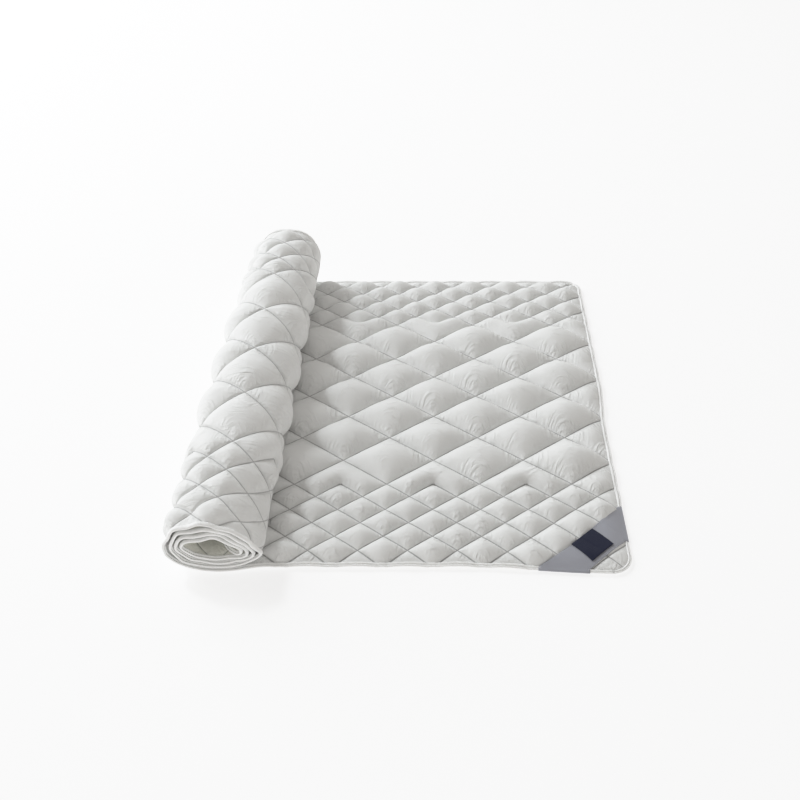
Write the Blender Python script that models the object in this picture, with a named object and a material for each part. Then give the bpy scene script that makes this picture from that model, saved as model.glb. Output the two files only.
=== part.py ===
"""Quilted mattress topper that lies flat at one end and is loosely rolled up at the other.

The topper is one filled, quilted sheet with a piped binding round its whole edge. Across one corner of
the flat end runs a satin band with a square label on it. The roll starts where the sheet turns up from
the floor, so its outer face is the topper's underside.

A place on the sheet is given by two lengths: along, from the flat end's outer edge, and across, from the
near long edge. World axes: +X from the roll to the flat end, +Y from the near long edge to the far one,
+Z up, with the origin at the middle of the footprint, on the floor.
"""
import math
from functools import lru_cache

import bpy
import numpy as np

# Driving dimensions, in metres.
SHEET_LENGTH = 2.00
SHEET_WIDTH = 0.90
LYING_LENGTH = 0.793        # from the flat end's furthest point to the far side of the roll
TAKE_UP = 0.10              # extra share of sheet that the roll's outermost turn uses up

# Quilting: large diamonds in the middle, small ones in a border along each long edge.
ROWS = 28                   # half rows of small diamonds across the width
ROW = SHEET_WIDTH / ROWS
BORDER_ROWS = 6
DIAMOND = 0.1697            # length of a large diamond along the sheet; small ones have half of it
LARGE_CROWN = 0.0135        # how far a crown stands above its seams
SMALL_CROWN = 0.0077
ROLL_LARGE_CROWN = 0.0095
ROLL_SMALL_CROWN = 0.0068
SEAM_HEIGHT = 0.0113        # top of a seam above the floor where the sheet lies flat
ROLL_SEAM_OFFSET = 0.0040   # seam on the roll's outer face, off the sheet's middle

# Edge.
PIPE_RADIUS = 0.0024
GAP = 0.0004                # between two pieces that touch
BAND_THICKNESS = 0.0007
WRAP_PLAY = 0.0002          # more room where the band bends
WRAP_RADIUS = PIPE_RADIUS + GAP + WRAP_PLAY
PIPE_INSET = WRAP_RADIUS + BAND_THICKNESS
RIM = PIPE_INSET + PIPE_RADIUS + GAP
CORNER_RADIUS = 0.0324
RIM_HEIGHT = 0.0050         # the sheet's middle above the floor
RIM_WAVE = 0.0020           # how far the rim rises between two seams
EDGE_SLOPE = 0.034          # width over which the filling thins out to the rim
UNDER_SLOPE = 0.0126        # the same on the underside, where the sheet lies on the floor
STIFF_EDGE = 2 * RIM        # width of the edge that the unevenness leaves unbent

# Roll.
ROLL_TURNS = 4.0
LAYER_GAP = 0.0015
ROUNDNESS = 0.5             # 1 winds plain ellipses, less makes their ends blunter
# One row for each section: share of the width, flat length, half width and half height of the roll,
# both to the sheet's middle on the outermost turn.
ROLL_SECTIONS = np.array([
    (0.00, 0.6975, 0.0814, 0.0558),
    (0.14, 0.6975, 0.0796, 0.0544),
    (0.21, 0.6966, 0.0783, 0.0571),
    (0.36, 0.6957, 0.0770, 0.0603),
    (0.50, 0.6939, 0.0758, 0.0650),
    (0.64, 0.6912, 0.0758, 0.0686),
    (0.80, 0.6867, 0.0761, 0.0720),
    (1.00, 0.6804, 0.0765, 0.0747),
])
# Where the filling is pressed or free, as lengths before the roll's foot and as turns wound.
PRESSED_FROM = 0.0765
PRESSED_TO = 0.036
WAVE_STOPS = 0.108
FINE_STOPS = 0.027
FACE_SWELLS = (0.02, 0.17)
FACE_HIDES = (0.78, 0.92)
NEAR_FACE_HIDES = (0.54, 0.72)
RIM_SWELLS = (0.10, 0.25)
RIM_HIDES = (0.65, 0.80)
COVERED_TURN = 0.93
# The near end of the roll, where its upper side is pressed down towards the flat end.
LEAN = 0.45                 # share of the height that it loses at most
LEAN_FROM = 0.028           # height below which it stays as it is
LEAN_SPAN = (0.1, 1.0)      # from the roll's middle, in half widths
NEAR_END_SHARE = (0.06, 0.26)

# Unevenness: how far parts of the edge lie outside the straight outline, and how far inwards that reaches.
END_DRIFT = 0.0087          # the flat end's far half, away from the roll
END_DRIFT_SHARES = (0.38, 0.55)
END_DRIFT_REACH = 0.315
CORNER_DRIFT = 0.0153       # the near corner of the flat end, towards the near side
CORNER_DRIFT_REACH = (0.297, 0.126)
ROLL_DRIFT = 0.009          # the near end of the roll, towards the near side
ROLL_DRIFT_RAMP = 0.09
ROLL_DRIFT_REACH = 0.27

# Corner band: where its two edges meet the near long edge and the flat end, from the corner.
BAND_INNER_NEAR = 0.162
BAND_INNER_END = 0.140
BAND_OUTER_NEAR = 0.0765
BAND_OUTER_END = 0.065
BAND_HOLLOW = 0.0042        # how far the inner edge's middle is drawn towards the corner, each way
BAND_TOP = 0.0135
BAND_HOLDS = 1.2            # band share up to which the ribbon holds the filling down
WRAP_ANGLES = (-50, -20, 10, 40, 70)
# Label, placed along the diagonal that runs into the corner.
LABEL_LENGTH = 0.054
LABEL_WIDTH = 0.048
LABEL_CENTRE = 0.0758       # from the straight outline's corner, along the diagonal
LABEL_SHIFT = -0.0176       # towards the near edge, along the band
LABEL_THICKNESS = 0.0008

# Mesh steps.
FINE_STEP = DIAMOND / 8
WOUND_STEP = DIAMOND / 12
EDGE_STEP = 0.0081
COARSE_SHARES = ROLL_SECTIONS[1:-1, 0]
PATH_STEPS_PER_TURN = 240
PIPE_SIDES = 6
CORNER_STEPS = 8
CORNER_STEP = 0.6 * CORNER_RADIUS
BAND_STEPS = (5, 18)        # across the ribbon and along it
LABEL_STEPS = 10
TANGENT_STEP = 0.001

FLAT_END_X = LYING_LENGTH / 2 - END_DRIFT + PIPE_INSET - PIPE_RADIUS
NEAR_Y = (CORNER_DRIFT - SHEET_WIDTH) / 2


# ---------------------------------------------------------------- small helpers

def smoothstep(low, high, value):
    """Return 0 below low and 1 above high, with a soft step between."""
    share = np.clip((value - low) / (high - low), 0.0, 1.0)
    return share * share * (3 - 2 * share)


def closing(distance, slope):
    """Return 0 at the rim and 1 from slope inwards, as a quarter sine."""
    return math.sin(math.pi / 2 * min(max(distance / slope, 0.0), 1.0))


def arch(share):
    """Return the round rise of a cell from its seam, at 0, to its middle, at 1."""
    return math.sqrt(share * (2 - share))


# ---------------------------------------------------------------- quilting

def seam_shares(p, q):
    """Return how far a place lies from the two families of seams, 0 on a seam and 1 midway.

    Seams run where p + q or p - q is an even number.
    """
    rising = abs((p + q + 1) % 2 - 1)
    falling = abs((p - q + 1) % 2 - 1)
    return rising, falling


def small_puff(along, across):
    """Return the rise of the small diamonds, 0 to 1."""
    rising, falling = seam_shares(along / (DIAMOND / 4), across / ROW)
    return arch(rising) * arch(falling)


def large_puff(along, across):
    """Return the rise of the large diamonds, 0 to 1, drawn in at the tips of the border's seams."""
    rising, falling = seam_shares(along / (DIAMOND / 2), (across / ROW - BORDER_ROWS - 2) / 2)
    tip_along = along - DIAMOND * round(along / DIAMOND)
    middle_row = ROWS / 2 - BORDER_ROWS - 2
    tip_across = (middle_row + 2) * ROW - abs(across - SHEET_WIDTH / 2)
    tip_distance = math.hypot(tip_along / (DIAMOND / 4), tip_across / ROW)
    return arch(rising) * arch(falling) * arch(min(tip_distance, 1.0))


def in_border(across):
    """Return whether a place lies in one of the two borders of small diamonds."""
    row = across / ROW
    return min(row, ROWS - row) < BORDER_ROWS - 1e-6


def crown(along, across, large, small):
    """Return how far the filling stands above the seams."""
    if in_border(across):
        return small * small_puff(along, across)
    return large * large_puff(along, across)


# ---------------------------------------------------------------- outline of the sheet

def rim_distance(along, across):
    """Return how far a place lies inside the sheet's rim, a rectangle with round corners."""
    half = (SHEET_LENGTH / 2 - RIM - CORNER_RADIUS, SHEET_WIDTH / 2 - RIM - CORNER_RADIUS)
    past_along = abs(along - SHEET_LENGTH / 2) - half[0]
    past_across = abs(across - SHEET_WIDTH / 2) - half[1]
    outside = math.hypot(max(past_along, 0.0), max(past_across, 0.0))
    return CORNER_RADIUS - outside - min(max(past_along, past_across), 0.0)


def round_corner(along, across):
    """Move a place of the square grid so that the grid's corners become the sheet's round ones."""
    end = SHEET_LENGTH if along > SHEET_LENGTH / 2 else 0.0
    side = SHEET_WIDTH if across > SHEET_WIDTH / 2 else 0.0
    reach = RIM + CORNER_RADIUS
    to_end = reach - abs(along - end)
    to_side = reach - abs(across - side)
    if to_end <= 0 or to_side <= 0:
        return along, across
    shrink = max(to_end, to_side) / math.hypot(to_end, to_side)
    inwards_along = 1 if end == 0 else -1
    inwards_across = 1 if side == 0 else -1
    return (end + inwards_along * (reach - to_end * shrink),
            side + inwards_across * (reach - to_side * shrink))


# ---------------------------------------------------------------- path of the sheet

@lru_cache(maxsize=None)
def section(across):
    """Return the roll's flat length, half width, half height and pitch at a place across."""
    share = across / SHEET_WIDTH
    flat_length, half_width, half_height = (
        float(np.interp(share, ROLL_SECTIONS[:, 0], column)) for column in ROLL_SECTIONS[:, 1:].T)
    mean_radius = math.sqrt((half_width ** 2 + half_height ** 2) / 2)
    taken_up = TAKE_UP * 2 * math.pi * mean_radius
    wound_radius = (SHEET_LENGTH - flat_length - taken_up) / (2 * math.pi * ROLL_TURNS)
    pitch = 2 * (mean_radius - wound_radius) / ROLL_TURNS
    return flat_length, half_width, half_height, pitch


@lru_cache(maxsize=None)
def path(across):
    """Return the wound part of the sheet's middle: lengths along, X, Z and turns, as arrays.

    Each turn is an oval that shrinks by one pitch. It leaves the floor at the oval's lowest point and
    winds up the side away from the flat end, over the top and down again.
    """
    flat_length, half_width, half_height, pitch = section(across)
    turns = np.linspace(0, ROLL_TURNS + 0.5, int((ROLL_TURNS + 0.5) * PATH_STEPS_PER_TURN))
    angle = 2 * np.pi * turns
    width = half_width - pitch * turns
    height = half_height - pitch * turns
    blunt = np.sin(angle) / np.sqrt(np.sin(angle) ** 2 + ROUNDNESS * np.cos(angle) ** 2)
    x = FLAT_END_X - flat_length - (width - height) * blunt - height * np.sin(angle)
    z = RIM_HEIGHT + half_height - height * np.cos(angle)
    length = np.concatenate([[0.0], np.cumsum(np.hypot(np.diff(x), np.diff(z)))])
    along = flat_length + length + TAKE_UP * np.minimum(length, length[PATH_STEPS_PER_TURN])
    return along, x, z, turns


def middle(along, across):
    """Return X, Z, the unit direction along the sheet and the turns wound at a place of its middle."""
    flat_length = section(across)[0]
    if along <= flat_length:
        return FLAT_END_X - along, RIM_HEIGHT, (-1.0, 0.0), 0.0
    lengths, x, z, turns = path(across)
    here, ahead = ((float(np.interp(at, lengths, x)), float(np.interp(at, lengths, z)))
                   for at in (along, along + TANGENT_STEP))
    run = math.hypot(ahead[0] - here[0], ahead[1] - here[1])
    direction = ((ahead[0] - here[0]) / run, (ahead[1] - here[1]) / run)
    return here[0], here[1], direction, float(np.interp(along, lengths, turns))


def rim_wave(along, across):
    """Return how far the rim leaves the sheet's middle: up where it lies flat, outwards on the roll."""
    flat_length = section(across)[0]
    turns = middle(along, across)[3]
    lying = 1 - smoothstep(flat_length - WAVE_STOPS, flat_length, along)
    rolled = smoothstep(*RIM_SWELLS, turns) * (1 - smoothstep(*RIM_HIDES, turns))
    beyond_band = smoothstep(1.0, BAND_HOLDS, band_share(along, across))
    rise = RIM_WAVE * small_puff(along, across)
    return rise * (lying * beyond_band - rolled) * (1 - closing(rim_distance(along, across), EDGE_SLOPE))


def band_share(along, across):
    """Return 1 on the band's inner edge, less towards the corner and more away from it."""
    return along / BAND_INNER_NEAR + across / BAND_INNER_END


def band_height(distance):
    """Return the band's underside above the floor, by its distance inside the rim."""
    at_rim = RIM_HEIGHT + PIPE_RADIUS + GAP
    return at_rim + (BAND_TOP - BAND_THICKNESS - at_rim) * closing(distance, EDGE_SLOPE)


def face_offsets(along, across):
    """Return how far the upper and lower faces stand off the sheet's middle at a place."""
    flat_length, _, _, pitch = section(across)
    _, height, direction, turns = middle(along, across)
    distance = rim_distance(along, across)
    pressed = (pitch - LAYER_GAP) / 2

    free_top = SEAM_HEIGHT - RIM_HEIGHT + crown(along, across, LARGE_CROWN, SMALL_CROWN)
    under_roll = smoothstep(flat_length - PRESSED_FROM, flat_length - PRESSED_TO, along)
    upper = (free_top + (pressed - free_top) * under_roll) * closing(distance, EDGE_SLOPE)
    if band_share(along, across) < BAND_HOLDS:
        upper = min(upper, band_height(distance) - RIM_HEIGHT - 2 * GAP)

    if along <= flat_length:
        return upper, RIM_HEIGHT * closing(distance, UNDER_SLOPE)
    free_face = ROLL_SEAM_OFFSET + crown(along, across, ROLL_LARGE_CROWN, ROLL_SMALL_CROWN)
    hides = [near + (far - near) * (1 - near_end(across))
             for near, far in zip(NEAR_FACE_HIDES, FACE_HIDES)]
    in_sight = smoothstep(*FACE_SWELLS, turns) * (1 - smoothstep(*hides, turns))
    lower = (pressed + (free_face - pressed) * in_sight) * closing(distance, EDGE_SLOPE)
    if direction[0] < 0:
        lower = min(lower, height / -direction[0])     # the floor flattens the roll's foot
    return upper, lower


def drift(along, across):
    """Return how far the uneven edge carries a place in X and Y."""
    share = across / SHEET_WIDTH
    flat_length = section(across)[0]
    end = END_DRIFT * smoothstep(*END_DRIFT_SHARES, share)
    end *= 1 - smoothstep(STIFF_EDGE, END_DRIFT_REACH, along)
    corner = CORNER_DRIFT * (1 - smoothstep(STIFF_EDGE, CORNER_DRIFT_REACH[0], along))
    corner *= 1 - smoothstep(STIFF_EDGE, CORNER_DRIFT_REACH[1], across)
    roll = ROLL_DRIFT * smoothstep(flat_length - ROLL_DRIFT_RAMP, flat_length, along)
    roll *= 1 - smoothstep(STIFF_EDGE, ROLL_DRIFT_REACH, across)
    return end, -corner - roll


def near_end(across):
    """Return 1 at the near end of the roll and 0 beyond it."""
    return 1 - smoothstep(*NEAR_END_SHARE, across / SHEET_WIDTH)


def leaned(x, z, across):
    """Return the height of a point once the roll's near end is pressed down towards the flat end."""
    flat_length, half_width, _, _ = section(across)
    towards = smoothstep(*LEAN_SPAN, (x - FLAT_END_X + flat_length) / half_width)
    return z - LEAN * near_end(across) * towards * max(z - LEAN_FROM, 0.0)


def undrifted(along, target):
    """Return the place across that the drift carries to target, found by repeated correction."""
    across = target
    for _ in range(12):
        across = target - drift(along, across)[1]
    return across


def world_point(along, across, offset):
    """Return the world point that stands off the sheet's middle by offset, towards its upper face."""
    x, z, direction, _ = middle(along, across)
    drift_x, drift_y = drift(along, across)
    x, z = x + direction[1] * offset, z - direction[0] * offset
    return x + drift_x, NEAR_Y + across + drift_y, leaned(x, z, across)


# ---------------------------------------------------------------- meshes

def steps_between(start, stop, step):
    """Return the multiples of step between start and stop that keep half a step clear of both."""
    numbers = range(math.ceil(start / step + 0.5), math.floor(stop / step - 0.5) + 1)
    return [number * step for number in numbers]


def stations_along():
    """Return the mesh's places along the sheet: even on the faces that show, closer on inner turns."""
    lengths, _, _, turns = path(SHEET_WIDTH / 2)
    outer_turn_end = float(np.interp(1.0, turns, lengths))
    ends = [RIM, RIM + EDGE_STEP, RIM + CORNER_STEP]
    show = steps_between(ends[-1], outer_turn_end, FINE_STEP)
    wound = steps_between(show[-1], SHEET_LENGTH - ends[-1], WOUND_STEP)
    return [*ends, *show, *wound, *(SHEET_LENGTH - end for end in reversed(ends))]


def rows_across(fine):
    """Return the mesh's places across the sheet, on the quilting's rows where fine."""
    if fine:
        inner = steps_between(RIM + EDGE_STEP / 2, SHEET_WIDTH - RIM - EDGE_STEP / 2, ROW / 2)
    else:
        inner = [EDGE_SLOPE, *(COARSE_SHARES * SHEET_WIDTH), SHEET_WIDTH - EDGE_SLOPE]
    return [RIM, RIM + EDGE_STEP, *inner, SHEET_WIDTH - RIM - EDGE_STEP, SHEET_WIDTH - RIM]


def join_columns(left, right, relief):
    """Return the triangles between two columns of (across, vertex), which may have unlike rows.

    Where the rows agree, the shorter way between seams is folded, so that creases follow the seams.
    """
    faces = []
    i = j = 0
    while i < len(left) - 1 or j < len(right) - 1:
        if i == len(left) - 1:
            step_left = False
        elif j == len(right) - 1:
            step_left = True
        elif abs(left[i + 1][0] - right[j + 1][0]) < 1e-6:
            low, high = left[i][1], right[j + 1][1]
            other_low, other_high = right[j][1], left[i + 1][1]
            step_left = relief[low] + relief[high] > relief[other_low] + relief[other_high]
        else:
            step_left = left[i + 1][0] < right[j + 1][0]
        if step_left:
            faces.append((left[i][1], right[j][1], left[i + 1][1]))
            i += 1
        else:
            faces.append((left[i][1], right[j][1], right[j + 1][1]))
            j += 1
    return faces


def mesh_object(name, vertices, faces, material):
    """Return a new object with a smooth mesh whose knife edges stay sharp."""
    mesh = bpy.data.meshes.new(name)
    mesh.from_pydata(vertices, [], faces)
    mesh.materials.append(material)
    mesh.shade_smooth()
    mesh.set_sharp_from_angle(angle=math.radians(60))
    thing = bpy.data.objects.new(name, mesh)
    bpy.context.collection.objects.link(thing)
    return thing


def build_body(material):
    """Build the quilted sheet: an upper and a lower face that share the rim's vertices."""
    stations = stations_along()
    vertices = []
    relief = []

    def add(along, across, side):
        along, across = round_corner(along, across)
        wave = rim_wave(along, across)
        upper, lower = face_offsets(along, across)
        offset = {"upper": wave + upper, "lower": -lower, "rim": wave}[side]
        if side == "lower":
            offset += wave * (1 - closing(rim_distance(along, across), UNDER_SLOPE))
        vertices.append(world_point(along, across, offset))
        relief.append(abs(offset))
        return len(vertices) - 1

    def column(along, fine, side, ends):
        rows = rows_across(fine)
        inner = [(across, add(along, across, side)) for across in rows[1:-1]]
        return [ends[0], *inner, ends[1]]

    flat_length = section(SHEET_WIDTH / 2)[0]
    covered = next(along for along in stations if middle(along, SHEET_WIDTH / 2)[3] > COVERED_TURN)
    uppers, lowers = [], []
    for number, along in enumerate(stations):
        ends = [(across, add(along, across, "rim")) for across in (RIM, SHEET_WIDTH - RIM)]
        fine_upper = along < flat_length - FINE_STOPS
        fine_lower = flat_length < along < covered
        if number in (0, len(stations) - 1):
            uppers.append(column(along, fine_upper, "rim", ends))
            lowers.append(uppers[-1])
        else:
            uppers.append(column(along, fine_upper, "upper", ends))
            lowers.append(column(along, fine_lower, "lower", ends))

    faces = []
    for left, right in zip(uppers, uppers[1:]):
        faces += [face[::-1] for face in join_columns(left, right, relief)]
    for left, right in zip(lowers, lowers[1:]):
        faces += join_columns(left, right, relief)
    return mesh_object("topper_body", vertices, faces, material)


def rim_walk():
    """Return the places round the rim as (along, across, outward along, outward across)."""
    inset = RIM + CORNER_RADIUS
    stations = [s for s in stations_along() if inset < s < SHEET_LENGTH - inset]
    fine, coarse = ([v for v in rows_across(kind) if inset < v < SHEET_WIDTH - inset]
                    for kind in (True, False))
    corners = {0: (SHEET_LENGTH - inset, inset), 90: (SHEET_LENGTH - inset, SHEET_WIDTH - inset),
               180: (inset, SHEET_WIDTH - inset), 270: (inset, inset)}
    sides = {0: [(SHEET_LENGTH - RIM, v, 1, 0) for v in coarse],
             90: [(s, SHEET_WIDTH - RIM, 0, 1) for s in reversed(stations)],
             180: [(RIM, v, -1, 0) for v in reversed(fine)],
             270: [(s, RIM, 0, -1) for s in stations]}
    walk = []
    for start, centre in corners.items():
        for step in range(CORNER_STEPS + 1):
            angle = math.radians(start - 90 + 90 * step / CORNER_STEPS)
            out = (math.cos(angle), math.sin(angle))
            walk.append((centre[0] + CORNER_RADIUS * out[0], centre[1] + CORNER_RADIUS * out[1], *out))
        walk += sides[start]
    return walk


def build_piping(material):
    """Build the piped binding as a closed tube just outside the rim."""
    vertices = []
    walk = rim_walk()
    for along, across, out_along, out_across in walk:
        wave = rim_wave(along, across)
        reach = PIPE_RADIUS + GAP
        centre_along, centre_across = along + out_along * reach, across + out_across * reach
        centre = np.array(world_point(centre_along, centre_across, wave))
        direction = middle(centre_along, centre_across)[2]
        outward = np.array([direction[0] * out_along, out_across, direction[1] * out_along])
        upward = np.array([direction[1], 0.0, -direction[0]])
        for side in range(PIPE_SIDES):
            angle = 2 * math.pi * side / PIPE_SIDES
            ray = math.cos(angle) * outward + math.sin(angle) * upward
            vertices.append(tuple(centre + PIPE_RADIUS * ray))
    faces = []
    for ring in range(len(walk)):
        following = (ring + 1) % len(walk)
        for side in range(PIPE_SIDES):
            turned = (side + 1) % PIPE_SIDES
            faces.append((ring * PIPE_SIDES + side, ring * PIPE_SIDES + turned,
                          following * PIPE_SIDES + turned, following * PIPE_SIDES + side))
    return mesh_object("edge_piping", vertices, faces, material)


def thicken(thing, thickness):
    """Give a sheet its thickness, added on its upper face."""
    solidify = thing.modifiers.new("thickness", "SOLIDIFY")
    solidify.thickness = thickness
    solidify.offset = 1.0
    solidify.use_even_offset = True


def grid_faces(columns, rows):
    """Return the quads of a grid of vertices that is stored column by column, facing up."""
    return [(i * rows + j, (i + 1) * rows + j, (i + 1) * rows + j + 1, i * rows + j + 1)
            for i in range(columns - 1) for j in range(rows - 1)]


def build_band(material):
    """Build the ribbon that crosses the near corner of the flat end and wraps over the binding."""
    wide, long = BAND_STEPS
    wrap = [(PIPE_INSET - WRAP_RADIUS * math.cos(angle), RIM_HEIGHT + WRAP_RADIUS * math.sin(angle))
            for angle in np.radians(WRAP_ANGLES)]
    near_places = np.linspace(BAND_OUTER_NEAR, BAND_INNER_NEAR, wide)
    end_places = np.linspace(BAND_OUTER_END, BAND_INNER_END, wide)
    vertices = []
    for near, end, inwards in zip(near_places, end_places, np.linspace(0, 1, wide)):
        line = [(near, across, height) for across, height in wrap]
        for share in np.linspace(0, 1, long):
            hollow = BAND_HOLLOW * inwards * 4 * share * (1 - share)
            along = near + share * (RIM - near) - hollow
            across = RIM + share * (end - RIM) - hollow
            line.append((along, across, band_height(rim_distance(along, across)) + WRAP_PLAY))
        line += [(along, end, height) for along, height in reversed(wrap)]
        vertices += [world_point(along, across, height - RIM_HEIGHT) for along, across, height in line]
    faces = [face[::-1] for face in grid_faces(wide, len(vertices) // wide)]
    band = mesh_object("corner_band", vertices, faces, material)
    thicken(band, BAND_THICKNESS)
    return band


def build_label(material):
    """Build the bare square label that is sewn on the band."""
    shares = np.linspace(-0.5, 0.5, LABEL_STEPS)
    vertices = []
    for diagonal in LABEL_CENTRE + LABEL_WIDTH * shares:
        for sideways in LABEL_SHIFT + LABEL_LENGTH * shares:
            along = (diagonal - sideways) / math.sqrt(2)
            across = undrifted(along, (diagonal + sideways) / math.sqrt(2))
            height = band_height(rim_distance(along, across)) + BAND_THICKNESS + 2 * GAP
            vertices.append(world_point(along, across, height - RIM_HEIGHT))
    faces = [face[::-1] for face in grid_faces(LABEL_STEPS, LABEL_STEPS)]
    label = mesh_object("corner_label", vertices, faces, material)
    thicken(label, LABEL_THICKNESS)
    return label


def cloth(name, colour, roughness):
    """Return a plain Principled material."""
    material = bpy.data.materials.new(name)
    material.use_nodes = True
    shader = material.node_tree.nodes["Principled BSDF"]
    shader.inputs["Base Color"].default_value = (*colour, 1.0)
    shader.inputs["Roughness"].default_value = roughness
    shader.inputs["Metallic"].default_value = 0.0
    material.diffuse_color = (*colour, 1.0)
    return material


def main():
    """Remove what the scene holds and build the four pieces."""
    for thing in list(bpy.data.objects):
        bpy.data.objects.remove(thing)
    build_body(cloth("quilted cotton", (0.80, 0.80, 0.78), 0.75))
    build_piping(cloth("white piping", (0.86, 0.86, 0.84), 0.6))
    build_band(cloth("grey satin", (0.25, 0.26, 0.29), 0.4))
    build_label(cloth("navy label", (0.012, 0.014, 0.035), 0.6))


main()
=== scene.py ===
"""Looks of the quilted mattress topper: two relaxed cotton covers, the binding, the band and its label.

A place on the sheet is (along, across): metres from the flat end's edge and from the near long edge. The
sheet lies flat up to the roll's foot and is wound from there on, so its underside is the roll's outside.
"""
import functools
import math

import bpy
import numpy as np
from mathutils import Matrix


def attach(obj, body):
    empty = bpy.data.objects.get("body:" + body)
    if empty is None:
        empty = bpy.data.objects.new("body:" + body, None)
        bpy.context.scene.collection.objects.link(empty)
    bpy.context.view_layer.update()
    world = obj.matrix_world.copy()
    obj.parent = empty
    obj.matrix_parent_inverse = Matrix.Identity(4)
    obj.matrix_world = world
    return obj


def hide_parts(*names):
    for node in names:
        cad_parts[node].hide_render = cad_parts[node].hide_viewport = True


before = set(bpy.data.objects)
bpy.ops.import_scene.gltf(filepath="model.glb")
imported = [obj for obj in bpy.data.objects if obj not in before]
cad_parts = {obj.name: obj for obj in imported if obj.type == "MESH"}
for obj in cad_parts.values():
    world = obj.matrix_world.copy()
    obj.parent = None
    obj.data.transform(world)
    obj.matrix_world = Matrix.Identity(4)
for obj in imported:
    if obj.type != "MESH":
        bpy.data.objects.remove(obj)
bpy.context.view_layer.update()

# ---------------------------------------------------------------- sizes, in metres

LENGTH, WIDTH = 2.00, 0.90                 # of the whole sheet
LYING_LENGTH = 0.793                       # from the roll's outside to the flat end
TAKE_UP = 0.10                             # share by which the outer turn's puckers take up more of the sheet

ROWS = 28                                  # half small diamonds across the sheet
ROW = WIDTH / ROWS
BORDER_ROWS = 6
DIAMOND = 0.1697                           # a large diamond's length along the sheet
TOP_CROWNS = (0.0150, 0.0072)              # of the large and the small diamonds
ROLL_CROWNS = (0.0080, 0.0052)
SEAM_HEIGHT = 0.0113                       # of the upper seams over the floor
ROLL_SEAM_OFFSET = 0.0040                  # of the roll's outer seams off the sheet's middle

PIPE_RADIUS = 0.0024
GAP = 0.0004
BAND_THICKNESS = 0.0007
WRAP_RADIUS = PIPE_RADIUS + GAP + 0.0002
PIPE_INSET = WRAP_RADIUS + BAND_THICKNESS
RIM = PIPE_INSET + PIPE_RADIUS + GAP
CORNER_RADIUS = 0.0324
RIM_HEIGHT = 0.0050
RIM_WAVE = 0.0034
EDGE_SLOPE = 0.034                         # how far in the upper side has its full height
INNER_EDGE_SLOPE = 0.014                   # the same for the layers inside the roll
UNDER_SLOPE = 0.0126                       # the same for the underside
STIFF_EDGE = 2 * RIM                       # how far in the edge drifts as one piece
FULLER = 0.28                              # how much larger the binding is where no band holds it

ROLL_TURNS = 4.0
LAYER_GAP = 0.0015
ROUNDNESS = 0.5                            # of the oval's ends; 1 is a true circle
# One row a section: share of the width, flat length, half width, half height.
ROLL_SECTIONS = np.array([
    (0.00, 0.6975, 0.0814, 0.0558),
    (0.14, 0.6975, 0.0796, 0.0544),
    (0.21, 0.6966, 0.0783, 0.0571),
    (0.36, 0.6957, 0.0770, 0.0603),
    (0.50, 0.6939, 0.0758, 0.0650),
    (0.64, 0.6912, 0.0758, 0.0686),
    (0.80, 0.6867, 0.0761, 0.0720),
    (1.00, 0.6804, 0.0765, 0.0747),
])
END_DRIFT, CORNER_DRIFT, ROLL_DRIFT = 0.0087, 0.0153, 0.009
LEAN, LEAN_FROM = 0.45, 0.028              # how much of its height the roll's near end loses, and above what
DENT = (-0.296, 0.1085)                    # X and Z of the dent in the near end's upper edge

BAND_INNER_NEAR, BAND_INNER_END = 0.162, 0.140
BAND_OUTER_NEAR, BAND_OUTER_END = 0.0765, 0.065
BAND_HOLLOW = 0.0042
BAND_TOP = 0.0150
BAND_LIFT = 0.0002                         # keeps the satin off the cotton
LABEL_LENGTH, LABEL_WIDTH = 0.054, 0.048
LABEL_CENTRE, LABEL_SHIFT, LABEL_TURN = 0.0771, -0.0172, -0.05
LABEL_THICKNESS = 0.0008

FLAT_END_X = LYING_LENGTH / 2 - END_DRIFT + PIPE_INSET - PIPE_RADIUS
NEAR_Y = (CORNER_DRIFT - WIDTH) / 2

FINE = 14                                  # grid steps in a quarter of a large diamond and in a row
ALONG_STEP = DIAMOND / 4 / FINE
ACROSS_STEP = ROW / FINE
INNER_STEP = 0.0078                        # along the wound layers that only show at their edges
# Shares of the width where the coarse parts keep a row, closer together near both edges.
COARSE_SHARES = (0, 0.011, 0.016, 0.023, 0.032, 0.045, 0.07, 0.1, 0.14, 0.18, 0.21, 0.25, 0.29, 0.36,
                 0.43, 0.50, 0.57, 0.64, 0.71, 0.80, 0.88, 0.94, 0.955, 0.968, 0.977, 0.984, 0.989, 1)

# How the cloth settles: push a step, speed kept, hold of the diagonals, bending, and how high it may go.
PUSH, SPEED_KEPT, DIAGONAL_HOLD, BENDING = 2e-5, 0.9, 0.4, 0.05
HIGHEST, HIGHEST_MORE = 1.08, 0.0005
SETTLING_STEPS, QUICK_STEPS = 200, 60


# ---------------------------------------------------------------- curves of the sheet

def smoothstep(low, high, value):
    """0 below low, 1 above high, 3t^2 - 2t^3 between."""
    t = np.clip((value - low) / (high - low), 0.0, 1.0)
    return t * t * (3 - 2 * t)


def closing(distance, slope):
    """A quarter sine that rises from 0 at the rim to 1 at slope inwards."""
    return np.sin(np.pi / 2 * np.clip(distance / slope, 0.0, 1.0))


def sections(across):
    """Flat length, half width, half height and pitch of the roll at places across, as arrays.

    The pitch is what lets the given turns of the oval use up the rest of the sheet.
    """
    share = np.asarray(across) / WIDTH
    flat, wide, high = (np.interp(share, ROLL_SECTIONS[:, 0], column) for column in ROLL_SECTIONS[:, 1:].T)
    mean = np.sqrt((wide ** 2 + high ** 2) / 2)
    wound = (LENGTH - flat - TAKE_UP * 2 * np.pi * mean) / (2 * np.pi * ROLL_TURNS)
    return flat, wide, high, 2 * (mean - wound) / ROLL_TURNS


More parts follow.
